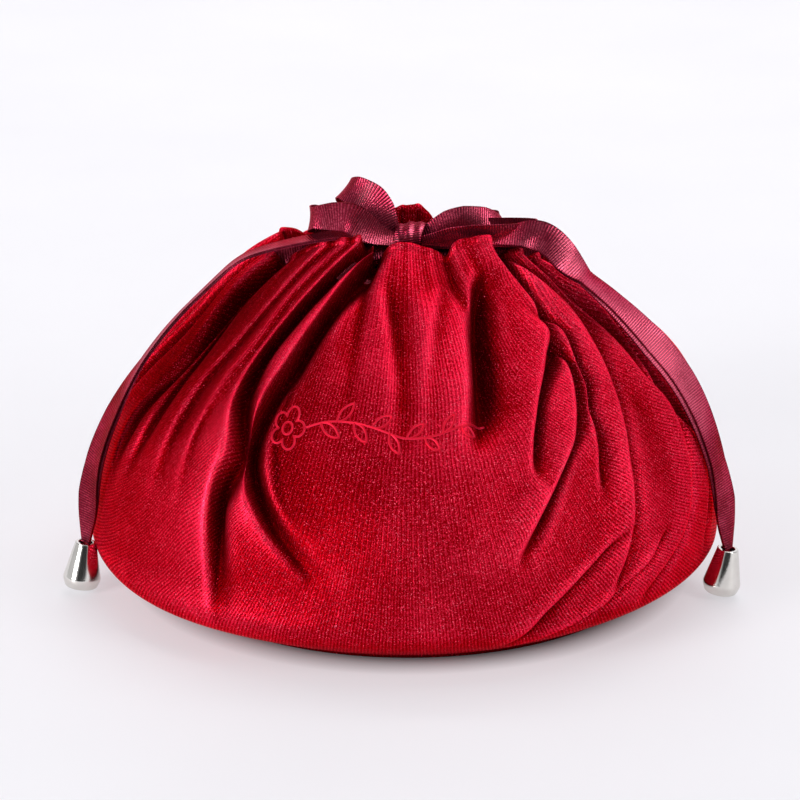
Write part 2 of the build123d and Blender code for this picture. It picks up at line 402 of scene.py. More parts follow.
# ---------------------------------------------------------------- the pouch's smooth shape
def half_width(z):
    low = BASE_RADIUS + (BODY_RADIUS - BASE_RADIUS) * np.sin(math.pi / 2 * np.minimum(z, WIDEST_Z) / WIDEST_Z)
    high = BODY_RADIUS * np.sqrt(np.clip(1 - ((np.maximum(z, WIDEST_Z) - WIDEST_Z) / DOME_RISE) ** 2, 0, 1))
    return np.where(z < WIDEST_Z, low, high)


def half_depth(z):
    rise = np.clip((z - WIDEST_Z) / DOME_RISE, 0, None)
    return half_width(z) * (1 - FLATTENING * rise**3)


def smooth_table(table, spread, at):
    """A periodic table of (degrees, value), joined up and rounded over a spread in degrees."""
    fine = np.arange(-180, 180, 0.25)
    angles, values = np.array(table, float).T
    line = np.interp(fine, angles, values, period=360)
    kernel = np.hanning(2 * int(4 * spread) + 1)
    padded = np.pad(line, len(kernel) // 2, mode="wrap")
    rounded_line = np.convolve(padded, kernel / kernel.sum(), mode="valid")
    return np.interp(at, fine, rounded_line, period=360)


def rim_lift(degrees):
    """How far the end of the wall stands above its level end, in metres."""
    return smooth_table(RIM_LINE, 2.2, degrees) * MM


def surface_normals(points):
    """Outward unit normals of a grid of wall points, in rows upwards and columns towards +angle."""
    return unit(np.cross(np.gradient(points, axis=1), np.gradient(points, axis=0)))


def blurred(values, reach):
    """A grid of values averaged over a square of neighbours."""
    size = 2 * reach + 1
    for axis in (0, 1):
        count = values.shape[axis]
        pad = [(reach, reach) if axis == i else (0, 0) for i in range(values.ndim)]
        total = np.cumsum(np.pad(values, pad, mode="edge"), axis=axis)
        total = np.insert(total, 0, 0, axis=axis)
        before = np.take(total, np.arange(count), axis)
        values = (np.take(total, np.arange(size, size + count), axis) - before) / size
    return values


def crowding(points, across):
    """How many times closer the ribs lie than in the flat cloth, as a power of two."""
    pace = []
    for axis in (0, 1):
        stride = np.linalg.norm(np.gradient(points, axis=axis), axis=-1)
        pace.append(np.gradient(across, axis=axis) / np.maximum(blurred(stride, 5), 0.05 * MM))
    return np.log2(np.clip(blurred(np.hypot(*pace), 7), 1, 8))


def painted_shading_mark(points, hollow):
    """How each point bends round the girth and how deep in a hollow it lies, from 0 to 1 about 0.5, for
    painted shade and highlight.
    """
    step = 3
    left = np.roll(points, step, axis=1)
    right = np.roll(points, -step, axis=1)
    left[:, :step] = points[:, :step]
    right[:, -step:] = points[:, -step:]
    gap = np.linalg.norm(right - left, axis=-1) / 2
    arch = ((points - (left + right) / 2) * surface_normals(points)).sum(-1) / np.maximum(gap, 0.3 * MM) ** 2
    return np.clip(0.5 + np.clip(arch / 500, -0.3, 0.3) + np.clip(hollow / (14 * MM), -0.4, 0.15), 0, 1)


def meridian():
    """Heights and lengths along the cloth from the base seam to the rim, as a table to look up."""
    z = np.linspace(SEAM_Z, RIM_Z - HEM_RADIUS, 400)
    radius = (half_width(z) + half_depth(z)) / 2
    steps = np.hypot(np.diff(z), np.diff(radius))
    return z, np.concatenate([[0], np.cumsum(steps)])


# ---------------------------------------------------------------- folds
# The rim's line: (angle, how far it stands over its level line in mm)
RIM_LINE = (
    (-90, -1.0), (-74, -1.0), (-61, 0.0), (-48, 1.0), (-38, 4.0), (-28, 5.0), (-24, 6.0), (-18, 5.2),
    (-15, 2.4), (-13, 0.2), (-11, 2.4), (-8, 3.6), (-3, 4.0), (1, 3.6), (5, 2.6), (9, 2.0), (12, 1.0),
    (15, -1.2), (17, 3.4), (20, 5.2), (25, 4.8), (29, 4.0), (33, 1.4), (38, 1.8), (44, 0.4), (54, -1.6),
    (66, -2.2), (79, -1.7), (90, -1.4), (104, -0.4), (118, 1.4), (132, 0.4), (146, 2.4), (158, 0.8),
    (166, 2.0), (171, 8.0), (175, 10.4), (180, 11.2), (185, 10.4), (189, 8.0), (194, 1.8), (204, 1.2),
    (214, 2.2), (226, 4.6), (238, 4.2), (250, 1.4), (262, -0.8),
)

FREE_TOP = 104 * MM  # a fold that starts lower than this fades out at its top

# Folds in the wall. Each has the line of its crest's edge as (angle, height in mm) from the top down, then
# (width, depth, height, roll, reach): in mm its width, how deep the hollow on its right is and how high its
# crest stands, then as shares of the width how far the crest rolls over the hollow, and the hollow's reach.
FOLDS = (
    (((-70, 111), (-74, 98), (-74, 82), (-74, 60), (-72, 40)), (2.4, 2.6, 1.4, 1.0, 1.3)),
    (((-70, 109), (-76, 98), (-78, 84), (-78, 66)), (3.2, 3.5, 0.0, 0.2, 1.6)),
    (((-58, 110), (-66, 96), (-66, 78), (-65, 62), (-65, 46)), (2.4, 2.6, 1.2, 0.9, 1.2)),
    (((-30, 111), (-35, 107), (-44, 96), (-53, 80), (-54, 66), (-54, 46)), (3.0, 1.8, 1.2, 0.6, 2.0)),
    (((-25, 111), (-37, 98), (-45, 82), (-47, 66), (-46, 46)), (2.6, 1.6, 1.0, 0.6, 1.6)),
    (
        (
            (-17, 111), (-25, 103), (-31, 96), (-38, 86), (-40, 76),
            (-38, 64), (-38, 48), (-36, 32), (-34, 18),
        ),
        (2.8, 8.0, 2.4, 1.5, 1.3),
    ),
    (
        (
            (-12, 110), (-20, 98), (-27, 88), (-32, 78), (-34, 70),
            (-34, 62), (-31, 54), (-25, 44), (-17, 33),
        ),
        (3.2, 8.5, 2.2, 1.3, 1.5),
    ),
    (((-22, 96), (-28, 84), (-30, 70), (-27, 56), (-20, 42)), (5.0, 3.0, 0.0, 0.2, 2.2)),
    (((-8, 103), (-6, 98), (-4, 90), (-3, 82), (-3, 64)), (4.0, 2.0, 0.6, 0.2, 1.4)),
    (((15, 103.9), (10, 99), (7, 91), (5, 82), (4, 64)), (4.0, 0.0, 2.2, 0.2, 1.0)),
    (((27, 103.9), (21, 101), (18, 97), (16, 91), (15, 84), (14, 76), (13, 68)), (4.2, 9.0, 2.4, 0.5, 1.3)),
    (
        ((32, 111), (32, 105), (36, 101), (37, 96), (36, 91), (33, 84), (28, 76), (26, 69), (25, 56)),
        (2.2, 6, 1.8, 1.5, 1.1),
    ),
    (
        ((32, 97), (36, 90), (38, 85), (38, 79), (36, 72), (34, 66), (30, 60), (26, 52), (21, 38)),
        (2.3, 5.5, 2.6, 1.6, 1.0),
    ),
    (((36, 100), (42, 91), (42, 85), (42, 78), (40, 72), (40, 63), (39, 52)), (2.0, 5.0, 1.8, 1.4, 1.0)),
    (
        (
            (34, 111), (40, 105), (45, 101), (50, 95), (50, 82), (48, 67),
            (46, 58), (45, 49), (44, 40), (41, 28), (36, 18),
        ),
        (2.6, 3.8, 2.4, 1.3, 1.4),
    ),
    (
        (
            (50, 106), (57, 94), (60, 84), (61, 76), (64, 68), (65, 60),
            (64, 50), (62, 41), (59, 33), (54, 27), (46, 18),
        ),
        (2.3, 3.6, 1.8, 1.3, 1.2),
    ),
    (
        ((60, 110), (67, 101), (66, 93), (65, 84), (66, 72), (69, 60), (72, 50), (71, 38), (67, 24)),
        (2.2, 3.6, 1.6, 1.2, 1.1),
    ),
    (((74, 108), (77, 90), (79, 70), (78, 48), (74, 26)), (2.6, 3.0, 1.2, 0.9, 1.3)),
    (((42, 42), (37, 37), (31, 30), (24, 21), (17, 8)), (2.6, 1.8, 1.8, 0.2, 1.4)),
    (((53, 37), (46, 28), (36, 20), (27, 14), (20, 5)), (2.6, 1.6, 1.7, 0.2, 1.4)),
    (((100, 110), (96, 92), (94, 70), (94, 40)), (2.6, 3.4, 1.6, 1.2, 1.2)),
    (((115, 110), (110, 92), (108, 68), (110, 36)), (2.6, 5.0, 2.0, 1.4, 1.4)),
    (((133, 112), (126, 94), (128, 70), (132, 40)), (2.8, 6.0, 2.2, 1.5, 1.4)),
    (((148, 112), (141, 96), (142, 74), (150, 42)), (2.6, 6.5, 2.0, 1.5, 1.6)),
    (((164, 112), (160, 98), (162, 82), (168, 56)), (3.2, 5.5, 1.8, 1.2, 1.8)),
    (((184, 103), (186, 94), (184, 80), (182, 60)), (4.0, 3.0, 1.6, 0.5, 1.5)),
    (((-158, 112), (-158, 96), (-152, 76), (-150, 44)), (2.8, 6.5, 2.2, 1.5, 1.5)),
    (((-140, 112), (-136, 94), (-130, 72), (-130, 38)), (2.8, 5.6, 2.0, 1.4, 1.5)),
    (((-120, 110), (-114, 92), (-110, 68), (-110, 34)), (2.6, 4.6, 1.8, 1.3, 1.3)),
    (((-100, 110), (-96, 92), (-93, 68), (-93, 34)), (2.5, 3.4, 1.4, 1.1, 1.2)),
)

# Small gathers: count round the pouch, depth in mm at the rim, and the height in mm where they have faded out
GATHERS = ((46, 1.3, 88), (31, 1.5, 74), (19, 1.2, 46))
QUIET_FRONT = (-145, 82)  # the stretch where the cloth hangs in wide smooth folds
UNDULATIONS = 14  # random shallow waves over the whole wall

# Flatter places in the wall: (angle, height in mm, spread in degrees, spread in mm, depth in mm).
# A negative depth stands proud.
FLATS = (
    (-84, 84, 30, 22, 6.6),
    (-58, 92, 16, 14, 2.0),
    (104, 92, 22, 16, 5.0),
    (-106, 92, 20, 18, 2.4),
    (-58, 13, 40, 8, -3.0),
)


def turned_from(alpha, middle):
    """The angle from middle to alpha, the short way round."""
    return np.angle(np.exp(1j * (alpha - middle)))


def fold_line(points, z):
    """A fold's angle at each height, smoothly through its points, and its lowest and highest level."""
    heights = np.array([p[1] for p in points][::-1], float) * MM
    angles = np.unwrap(np.radians([p[0] for p in points][::-1]))
    fine = np.linspace(heights[0], heights[-1], 200)
    line = np.interp(fine, heights, angles)
    kernel = np.hanning(31)
    padded = np.pad(line, 15, mode="reflect", reflect_type="odd")
    smooth = np.convolve(padded, kernel / kernel.sum(), mode="valid")
    return np.interp(z, fine, smooth), heights[0], heights[-1]


def hump(t, centre, left, right):
    """A bell curve that falls off at different rates on its two sides."""
    return np.exp(-(((t - centre) / np.where(t < centre, left, right)) ** 2))


def fold_field(alpha, z):
    """Shift along the normal and along the girth, in metres, of every point at angle alpha and height z."""
    normal = np.zeros_like(z)
    girth = np.zeros_like(z)
    local = np.sqrt((half_width(z) * np.cos(alpha)) ** 2 + (half_depth(z) * np.sin(alpha)) ** 2)
    for points, (width, depth, height, roll, reach) in FOLDS:
        line, foot, top = fold_line(points, z)
        span = top - foot
        fade = smoothstep(foot - 0.1 * span, foot + 0.4 * span, z)
        if top < FREE_TOP:
            fade = fade * (1 - smoothstep(top - 0.25 * span, top, z))
        offset = turned_from(alpha, line) * np.maximum(local, 18 * MM)
        spread = width * MM * (0.9 + 0.5 * smoothstep(top, foot, z))
        t = offset / spread + 0.62 * roll
        normal += fade * MM * (height * hump(t, -0.8, 1.8, 0.8) - depth * hump(t, 0.7, 0.65, reach))
        girth += fade * roll * spread * hump(t, -0.7, 1.4, 0.9)
    for angle, height, wide, tall, depth in FLATS:
        aside = np.degrees(turned_from(alpha, math.radians(angle))) / wide
        normal -= depth * MM * np.exp(-(aside**2) - ((z / MM - height) / tall) ** 2)
    rng = np.random.default_rng(7)
    turned = np.degrees(turned_from(alpha, 0))
    start, end = QUIET_FRONT
    quiet = 1 - 0.92 * smoothstep(start - 14, start, turned) * (1 - smoothstep(end, end + 14, turned))
    quiet = quiet * (0.25 + 0.75 * smoothstep(9, 16, 180 - np.abs(turned)))
    for count, depth, gone in GATHERS:
        phase = count * alpha
        for wave in (3, 5, 8):
            swing = rng.uniform(0.5, 1.1)
            phase = phase + swing * np.sin(wave * alpha + rng.uniform(0, 6.28) + z / (90 * MM))
        fade = smoothstep(gone * MM, RIM_Z, z) ** 0.8
        strength = 0.65 + 0.35 * np.sin(4 * alpha + rng.uniform(0, 6.28))
        wave = np.sin(phase)
        normal += quiet * fade * strength * depth * MM * (wave - 0.35 * np.cos(2 * phase))
    for _ in range(UNDULATIONS):
        around, up = rng.integers(2, 9), rng.uniform(-70, 70)
        size = rng.uniform(0.15, 0.42) * MM
        wave = np.sin(around * alpha + up * z + rng.uniform(0, 6.28))
        normal += size * wave * smoothstep(4 * MM, 30 * MM, z)
    return normal, girth


def wall_grid(alpha, rows, hem_rows, inset=0.0):
    """Points, cloth UVs and marks of the wall over a row of angles.

    Its rows go from the base seam up to the rim, and then over it and down to the hem's end.
    """
    z_table, length_table = meridian()
    length = np.linspace(0, length_table[-1], rows)
    z0 = np.interp(length, length_table, z_table)
    A, Z0 = np.meshgrid(alpha, z0)
    share = smoothstep(60 * MM, RIM_Z, Z0) ** 1.3
    Z = Z0 + share * rim_lift(np.degrees(A))
    a, b = half_width(Z0), half_depth(Z0)
    base = np.stack([a * np.sin(A), -b * np.cos(A), Z], -1)
    girth_way = unit(np.stack([a * np.cos(A), b * np.sin(A), np.zeros_like(A)], -1))
    rise_way = np.gradient(base, axis=0)
    outward = unit(np.cross(girth_way, rise_way))
    normal, girth = fold_field(A, Z0)
    wall = base + outward * normal[..., None] + girth_way * girth[..., None]
    if inset:
        wall = wall - unit(blurred(surface_normals(wall), 2)) * inset

    level = outward[-1].copy()
    level[:, 2] = 0
    level = unit(level)
    turn = np.linspace(0, math.pi, 9)[1:]
    steps = [(HEM_RADIUS * (1 - math.cos(t)), HEM_RADIUS * math.sin(t)) for t in turn]
    drops = np.linspace(0, HEM_DEPTH, hem_rows + 1)[1:]
    steps += [(2 * HEM_RADIUS + HEM_LEAN * drop, -drop) for drop in drops]
    hem = [wall[-1] - level * inward + np.array([0, 0, height]) for inward, height in steps]
    points = np.concatenate([wall, np.stack(hem)])

    hem_length = length[-1] + np.cumsum(np.hypot(*np.diff(np.array([(0, 0)] + steps), axis=0).T))
    reach = BASE_RADIUS + np.concatenate([length, hem_length])
    uv = np.stack([reach[:, None] * np.sin(alpha), reach[:, None] * np.cos(alpha)], -1)
    hollow = np.concatenate([normal, np.repeat(normal[-1:], len(hem), 0)])
    marks = {"painted_shading": painted_shading_mark(points, hollow), "crowd": crowding(points, uv[..., 0])}
    return points, uv, marks


def crowded(low, high, columns, crowds):
    """Angles from low to high, closer together within each crowd's (low, high, gain) stretch."""
    fine = np.linspace(low, high, 4000)
    density = np.ones_like(fine)
    for start, end, gain in crowds:
        start, end = math.radians(start), math.radians(end)
        density += (gain - 1) * smoothstep(start - 0.1, start, fine) * (1 - smoothstep(end, end + 0.1, fine))
    total = np.concatenate([[0], np.cumsum(density[1:])])
    return np.interp(np.linspace(0, total[-1], columns), total, fine)


def wall_panel(name, low, high, columns, replaced, crowds=()):
    """Half of the velvet wall, between two angles in degrees."""
    alpha = crowded(math.radians(low), math.radians(high), columns, crowds)
    points, uv, marks = wall_grid(alpha, WALL_ROWS, HEM_ROWS)
    faces = grid_faces(len(points), columns)
    obj = mesh_object(name, points.reshape(-1, 3), faces, VELVET, uv.reshape(-1, 2), marks)
    settle(obj, "velvet", *replaced)


FRONT_CROWDS = ((12, 74, 2.4), (-42, -14, 1.6))  # where the front's folds are close: (from, to, gain)

wall_panel("front_wall_cloth", -90, 90, 560, ("front_panel", "front_channel"), FRONT_CROWDS)
wall_panel("back_wall_cloth", 90, 270, 300, ("back_panel", "back_channel"))


# ---------------------------------------------------------------- base and lining
def disc(name, radius, z, material, replaced, slot, pucker, lip=0.0):
    """A round of cloth, puckered a little at its edge, with an optional turned-up lip."""
    rings, spokes = 24, 144
    spoke = np.linspace(0, 2 * math.pi, spokes, endpoint=False)
    R, T = np.meshgrid(np.linspace(0.02, 1, rings) * radius, spoke, indexing="ij")
    wave = pucker * (R / radius) ** 8 * (np.sin(37 * T) + 0.6 * np.sin(23 * T + 1.0))
    Z = z + wave + lip * smoothstep(0.96, 1.0, R / radius)
    points = np.stack([R * np.sin(T), -R * np.cos(T), Z], -1).reshape(-1, 3)
    centre = len(points)
    points = np.concatenate([points, [[0, 0, z]]])
    faces = grid_faces(rings, spokes, closed=True).tolist()
    faces += [[i, (i + 1) % spokes, centre] for i in range(spokes)]
    obj = mesh_object(name, points, faces, material, points[:, :2], {"painted_shading": np.full(len(points), 0.5)})
    settle(obj, slot, replaced)


disc("base_cloth", BASE_RADIUS - 0.6 * MM, 0.35 * MM, VELVET, "base_panel", "velvet", 0.15 * MM, lip=0.5 * MM)
disc("base_lining_cloth", BASE_RADIUS - 4 * MM, 4.2 * MM, LINING, "base_lining", "lining", 0.2 * MM)


def wall_lining(name, low, high, replaced):
    """The lining's half: inside the wall cloth, up to the foot of the hem."""
    alpha = np.radians(np.linspace(low, high, LINING_COLUMNS))
    points, uv, marks = wall_grid(alpha, LINING_ROWS, 2, inset=LINING_INSET)
    points, uv = points[LINING_KEPT], uv[LINING_KEPT]
    marks = {mark: values[LINING_KEPT] for mark, values in marks.items()}
    faces = grid_faces(len(points), LINING_COLUMNS)
    obj = mesh_object(name, points.reshape(-1, 3), faces, LINING, uv.reshape(-1, 2), marks)
    settle(obj, "lining", replaced)


wall_lining("front_lining_cloth", -90, 90, "front_lining")
wall_lining("back_lining_cloth", 90, 270, "back_lining")


def finish_node(node, material):
    """Give a CAD node that stays in sight a better material."""
    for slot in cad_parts[node].material_slots:
        slot.material = material


finish_node("base_board", CARD)


# ---------------------------------------------------------------- piping and embroidery
def tube(line, normals, radius, closed=False, sides=8):
    """Points, faces and cloth UVs of a round thread that lies along a line on the cloth."""
    pace = np.roll(line, -1, axis=0) - np.roll(line, 1, axis=0) if closed else np.gradient(line, axis=0)
    along = unit(pace)
    beside = unit(np.cross(along, normals))
    spin = np.linspace(0, 2 * math.pi, sides, endpoint=False)
    ring = normals[:, None] * np.sin(spin)[None, :, None] + beside[:, None] * np.cos(spin)[None, :, None]
    points = line[:, None] + radius * ring
    faces = grid_faces(len(line), sides, closed=True, ring=closed).tolist()
    last = (len(line) - 1) * sides
    for i in range(0 if closed else sides // 2 - 1):
        quad = [i, i + 1, sides - 2 - i, sides - 1 - i]
        faces += [quad, [last + corner for corner in reversed(quad)]]
    reach = np.concatenate([[0], np.cumsum(np.linalg.norm(np.diff(line, axis=0), axis=1))])
    uv = np.stack(np.broadcast_arrays(reach[:, None], radius * spin[None, :]), -1)
    return points.reshape(-1, 3), faces, uv.reshape(-1, 2)


def joined(pieces):
    """Several (points, faces, uv) as one."""
    start, all_faces = 0, []
    for points, faces, _ in pieces:
        all_faces += [[start + i for i in face] for face in faces]
        start += len(points)
    points, _, uvs = zip(*pieces)
    return np.concatenate(points), all_faces, np.concatenate(uvs)


def base_piping():
    """A cord of the same velvet round the seam between the wall and the base."""
    alpha = np.linspace(-math.pi, math.pi, 361)[:-1]
    line = wall_grid(alpha, WALL_ROWS, 0)[0][0]
    line[:, 2] = PIPING_RADIUS + 0.1 * MM
    points, faces, uv = tube(line, np.tile([0, 0, 1.0], (len(line), 1)), PIPING_RADIUS, closed=True)
    settle(mesh_object("base_piping", points, faces, VELVET, uv), "velvet")


def cloth_spot():
    """A function from angles in degrees and heights in mm to points on the front cloth and their normals."""
    alpha = np.radians(np.linspace(-50, 40, 500))
    points = wall_grid(alpha, WALL_ROWS, 0)[0][:WALL_ROWS]
    normals = unit(blurred(surface_normals(points), 2))
    z_table, length_table = meridian()

    def spot(angles, heights):
        column = np.interp(np.radians(angles), alpha, np.arange(len(alpha)))
        row = np.interp(heights * MM, z_table, length_table) / length_table[-1] * (WALL_ROWS - 1)
        i, j = row.astype(int), column.astype(int)
        u, v = (row - i)[:, None], (column - j)[:, None]
        found = []
        for grid in (points, normals):
            low = grid[i, j] * (1 - v) + grid[i, j + 1] * v
            high = grid[i + 1, j] * (1 - v) + grid[i + 1, j + 1] * v
            found.append(low * (1 - u) + high * u)
        return found[0], unit(found[1])

    return spot


def sprig_lines():
    """The sprig's threads, flat, as (x, y) arrays in mm: a stem, leaves to each side in turn and a flower."""
    lines = []
    u = np.linspace(0, 1, 160)
    stem = np.stack([SPRIG_WIDTH * (u - 0.5), STEM_SWAY * np.sin(2 * math.pi * STEM_WAVES * u)], -1)
    lines.append(stem)
    t = np.linspace(0, 1, 40)
    for index in range(SPRIG_LEAVES):
        at = 14 + index * (len(stem) - 26) // SPRIG_LEAVES
        way = math.atan2(*(stem[at + 1] - stem[at])[::-1]) + (LEAF_SLANT if index % 2 else -LEAF_SLANT)
        size = LEAF_LENGTH * (1 - 0.3 * index / SPRIG_LEAVES)
        out = np.stack([size * t, 0.2 * size * np.sin(math.pi * t) ** 0.8], -1)
        back = out[::-1] * (1, -1)
        leaf = np.concatenate([out, back[1:]])
        turn = np.array([[math.cos(way), math.sin(way)], [-math.sin(way), math.cos(way)]])
        lines.append(stem[at] + leaf @ turn)
    around = np.linspace(0, 2 * math.pi, 181)
    for reach, petal in FLOWER_RINGS:
        radius = reach + petal * np.abs(np.cos(2.5 * around)) ** 0.7
        ring = np.stack([radius * np.cos(around), radius * np.sin(around)], -1)
        lines.append(stem[0] - FLOWER_PLACE + ring)
    return lines


def embroidery():
    """A raised sprig in glossy thread across the front."""
    spot = cloth_spot()
    pieces = []
    for line in sprig_lines():
        angles = SPRIG_ANGLE + line[:, 0] / SPRIG_MM_PER_DEGREE
        points, normals = spot(angles, SPRIG_Z + line[:, 1] * SPRIG_RISE)
        pieces.append(tube(points + normals * 0.15 * MM, normals, THREAD_RADIUS))
    points, faces, uv = joined(pieces)
    settle(mesh_object("embroidered_sprig", points, faces, THREAD, uv), "velvet")


base_piping()
embroidery()


# ---------------------------------------------------------------- ribbons
def smooth_route(points, samples_per_point=16):
    """Points along the NURBS spline that has the given control points."""
    curve = bpy.data.curves.new("route", "CURVE")
    curve.dimensions = "3D"
    spline = curve.splines.new("NURBS")
    spline.points.add(len(points) - 1)
    for control, point in zip(spline.points, points):
        control.co = (*point, 1)
    spline.order_u = 3
    spline.use_endpoint_u = True
    spline.resolution_u = samples_per_point
    obj = link(bpy.data.objects.new("route", curve))
    bpy.context.view_layer.update()
    graph = bpy.context.evaluated_depsgraph_get()
    mesh = bpy.data.meshes.new_from_object(obj.evaluated_get(graph))
    line = np.array([v.co for v in mesh.vertices])
    bpy.data.objects.remove(obj)
    bpy.data.curves.remove(curve)
    bpy.data.meshes.remove(mesh)
    return line


def line_length(line):
    return float(np.linalg.norm(np.diff(line, axis=0), axis=1).sum())


def spaced(line, step):
    """The same line with points a step apart."""
    reach = np.concatenate([[0], np.cumsum(np.linalg.norm(np.diff(line, axis=0), axis=1))])
    count = max(3, int(round(reach[-1] / step)) + 1)
    at = np.linspace(0, reach[-1], count)
    return np.stack([np.interp(at, reach, line[:, axis]) for axis in range(3)], -1), at


def width_ways(line, wanted):
    """Directions across a line and along it, from pairs of (share of its length, direction across)."""
    shares = np.linspace(0, 1, len(line))
    keys = np.array([k for k, _ in wanted])
    table = unit(np.array([w for _, w in wanted], float))
    ways = np.stack([np.interp(shares, keys, table[:, axis]) for axis in range(3)], -1)
    along = unit(np.gradient(line, axis=0))
    ways = ways - along * (ways * along).sum(-1, keepdims=True)
    return unit(ways), along


def ribbon_strip(name, line, wanted, shift=0.0, splay=0.0, cup=0.0, widths=((0, 1), (1, 1))):
    """A flat ribbon along a line, and the line that its middle follows.

    shift moves it across its thickness, splay moves its middle stretch sideways, and cup bows it across its
    width. widths has (share of its length, share of its width), for where it is gathered in.
    """
    line, at = spaced(line, RIBBON_STEP)
    ways, along = width_ways(line, wanted)
    faces_out = unit(np.cross(along, ways))
    count = len(line)
    share = np.linspace(0, 1, count)
    sideways = splay * smoothstep(0.3, 0.45, share) * (1 - smoothstep(0.8, 0.95, share))
    line = line + faces_out * shift + ways * sideways[:, None]
    half = RIBBON_WIDTH / 2 * np.interp(share, *np.array(widths, float).T)
    across = np.linspace(-1, 1, 9)
    top, bottom = [], []
    for position in across:
        edge = line + ways * (position * half)[:, None] + faces_out * (cup * (1 - position**2))
        top.append(edge + faces_out * RIBBON_THICKNESS / 2)
        bottom.append(edge - faces_out * RIBBON_THICKNESS / 2)
    loop = np.stack(top + bottom[::-1], 1)
    columns = loop.shape[1]
    faces = grid_faces(count, columns, closed=True).tolist()
    for end in (0, (count - 1) * columns):
        for index in range(len(across) - 1):
            quad = [end + index, end + index + 1, end + columns - 2 - index, end + columns - 1 - index]
            faces.append(quad if end == 0 else quad[::-1])
    v = np.concatenate([across, across[::-1]])
    uv = np.stack(np.broadcast_arrays(v[None, :] * half[:, None], at[:, None]), -1)
    obj = mesh_object(name, loop.reshape(-1, 3), faces, RIBBON, uv.reshape(-1, 2))
    edges = obj.modifiers.new("edges", "EDGE_SPLIT")
    edges.split_angle = math.radians(60)
    return obj, line


def declare_cord(line):
    """Measure the length of a ribbon's line, without keeping it."""
    line_length(line)


# The tails. Each lies in an upright plane through the pouch's axis, turned towards the front from the X axis.
# A route's points are (distance from the axis, height) in mm, and a bell's throat too. ways has the ribbon's
# width direction along the way as (share of its length, direction). Turn and lean are in degrees.
SIDES = {
    "left": {
        "sign": -1,
        "turn": 14.0,
        "throat": (107.6, 16.9),
        "lean": 8.0,
        "route": (
            (5.6, 110.6), (19.6, 114.6), (32.0, 113.8), (47.6, 111.3), (56.2, 108.4), (64.8, 100.9),
            (76.6, 90.2), (86.0, 79.0), (95.0, 65.4), (102.4, 49.6), (105.8, 36.0),
        ),
        "ways": (
            (0, (0, 1, 0)), (0.3, (0, 1, -0.1)), (0.45, (-0.06, 0.97, -0.2)), (0.6, (-0.1, 0.97, -0.16)),
            (0.72, (-0.34, 0.93, 0)), (0.84, (-0.5, 0.86, 0)), (0.93, (-0.72, 0.7, 0)),
            (1, (-0.72, 0.7, 0)),
        ),
    },
    "right": {
        "sign": 1,
        "turn": 17.0,
        "throat": (107.9, 16.9),
        "lean": -8.0,
        "route": (
            (5.6, 110.6), (20.0, 112.4), (31.0, 114.2), (40.0, 116.8), (47.4, 115.2), (55.6, 105.6),
            (68.4, 96.2), (81.0, 84.6), (91.8, 72.4), (99.8, 56.6), (105.8, 36.0),
        ),
        "ways": (
            (0, (0, 1, 0.1)), (0.16, (0, 1, 0.2)), (0.24, (0.3, 0.4, 0.85)), (0.3, (0.5, 0.5, 0.7)),
            (0.36, (0.3, 0.93, 0.1)), (0.44, (0.4, 0.9, 0.15)), (0.55, (0.6, 0.75, 0.3)),
            (0.65, (0.6, 0.77, 0.2)), (0.82, (0.5, 0.86, 0)), (0.93, (0.72, 0.7, 0)), (1, (0.72, 0.7, 0)),
        ),
    },
}

# Where a tail is gathered in, at the knot and in the bell's throat: (share of its length, share of its width)
TAIL_WIDTHS = ((0, 0.6), (0.04, 0.85), (0.1, 1), (0.9, 1), (0.95, 0.75), (1, 0.34))


def outward_of(side):
    """The level direction in which a side's tail runs."""
    turn = math.radians(side["turn"])
    return Vector((side["sign"] * math.cos(turn), -math.sin(turn), 0))


def on_tail_plane(side, distance, z):
    """A point of a tail's plane, from mm."""
    return outward_of(side) * distance * MM + Vector((0, 0, z * MM))


def tail_points(side):
    """The route of a tail from the knot to the bell's throat."""
    points = [on_tail_plane(side, *point) for point in side["route"]]
    throat = on_tail_plane(side, *side["throat"])
    middle = points[-1].lerp(throat, 0.5)
    return points + [middle, throat + Vector((0, 0, -0.3 * MM))]


def tail(name, side):
    """A side's pair of plies, from the knot over the pouch's side and down into the bell."""
    route = smooth_route([tuple(p) for p in tail_points(side)])
    for ply, shift in (("outer", 0.3), ("inner", -0.3)):
        obj, line = ribbon_strip(
            f"{name}_tail_{ply}_ribbon",
            route,
            side["ways"],
            shift=side["sign"] * shift * MM,
            splay=3 * shift * MM,
            cup=0.25 * MM,
            widths=TAIL_WIDTHS,
        )
        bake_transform(obj)
        replaced = [f"{name}_tail_{ply}_ply"] + ([f"{name}_tail_end"] if ply == "outer" else [])
        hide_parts(*replaced)
        declare_cord(line)


# ---------------------------------------------------------------- bells
# Sections in mm as (radius, height from the throat's top), and how far each corner of the bell's is rounded
BELL_SECTION = ((2.3, 0.0), (3.4, 0.0), (6.2, -12.4), (5.3, -15.1), (4.45, -15.1), (4.45, -12.4), (2.3, -1.2))
BELL_ROUNDING = (0.25, 0.35, 0.9, 0.5, 0.2, 0.2, 0.2)
PLUG_SECTION = ((0.01, -12.9), (4.4, -12.9), (4.4, -15.0), (3.2, -15.35), (1.6, -15.52), (0.01, -15.6))


def lathe(name, profile, place, material, spokes=72):
    """A closed surface of revolution about the place's Z axis, from its section's (radius, height) points."""
    spin = np.linspace(0, 2 * math.pi, spokes, endpoint=False)
    ring = np.stack([np.outer(profile[:, 0], np.cos(spin)), np.outer(profile[:, 0], np.sin(spin))], -1)
    heights = np.repeat(profile[:, 1:2], spokes, 1)[..., None]
    points = np.concatenate([ring, heights], -1).reshape(-1, 3)
    faces = grid_faces(len(profile), spokes, closed=True, ring=True)
    placed = [place @ Vector(p) for p in points]
    return mesh_object(name, np.array(placed), faces, material)


